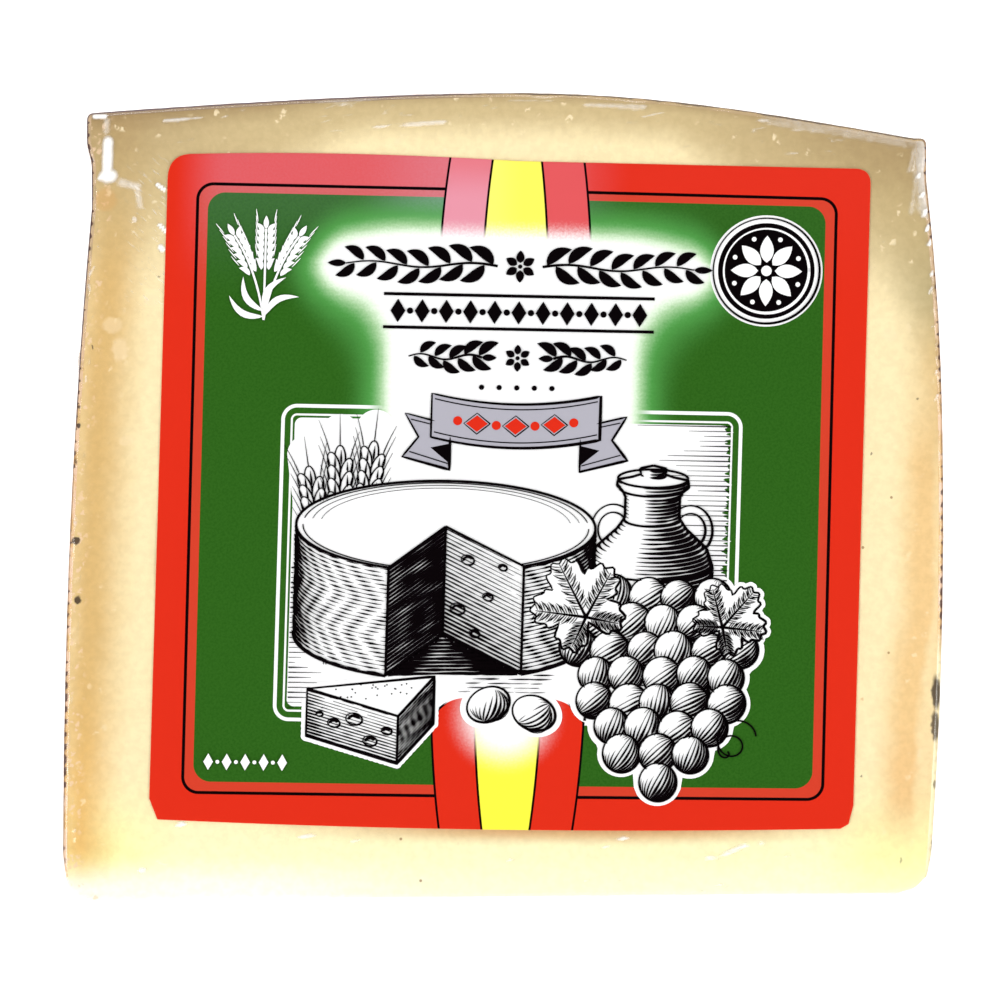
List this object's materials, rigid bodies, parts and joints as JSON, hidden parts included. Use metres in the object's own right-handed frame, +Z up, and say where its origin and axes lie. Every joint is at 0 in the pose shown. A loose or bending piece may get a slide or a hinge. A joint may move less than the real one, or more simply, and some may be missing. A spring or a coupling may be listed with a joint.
{
  "type": "semi-cured cheese wedge",
  "caption": "Wedge cut from a wheel of semi-cured cheese, sealed in tight clear film, with a square printed label on one cut face.",
  "frame": {"origin": "under the middle of the wedge's box, on the surface that its unlabelled cut face lies on", "axes": "+X from the left to the right side as the label is read, +Y from the thin edge to the rind, +Z up; the labelled cut face is on top, tilted 24.7 degrees"},
  "size_m": [0.101, 0.0926, 0.0399],
  "materials": {
    "cheese_in_film": "pale cheese seen through tight clear film",
    "cheese_paste": "cut cheese paste, pale ivory, amber towards the rind, waxy",
    "cheese_rind": "thin brown rind with the mould's grooves",
    "clear_film": "clear shrunk film, glossy, with fine wrinkles",
    "label_print": "coated paper, printed red, green, yellow, white and black, satin"
  },
  "bodies": {
    "root": {"film_wrapped_cheese": "cheese_in_film", "label": "label_print"}
  },
  "joints": []
}
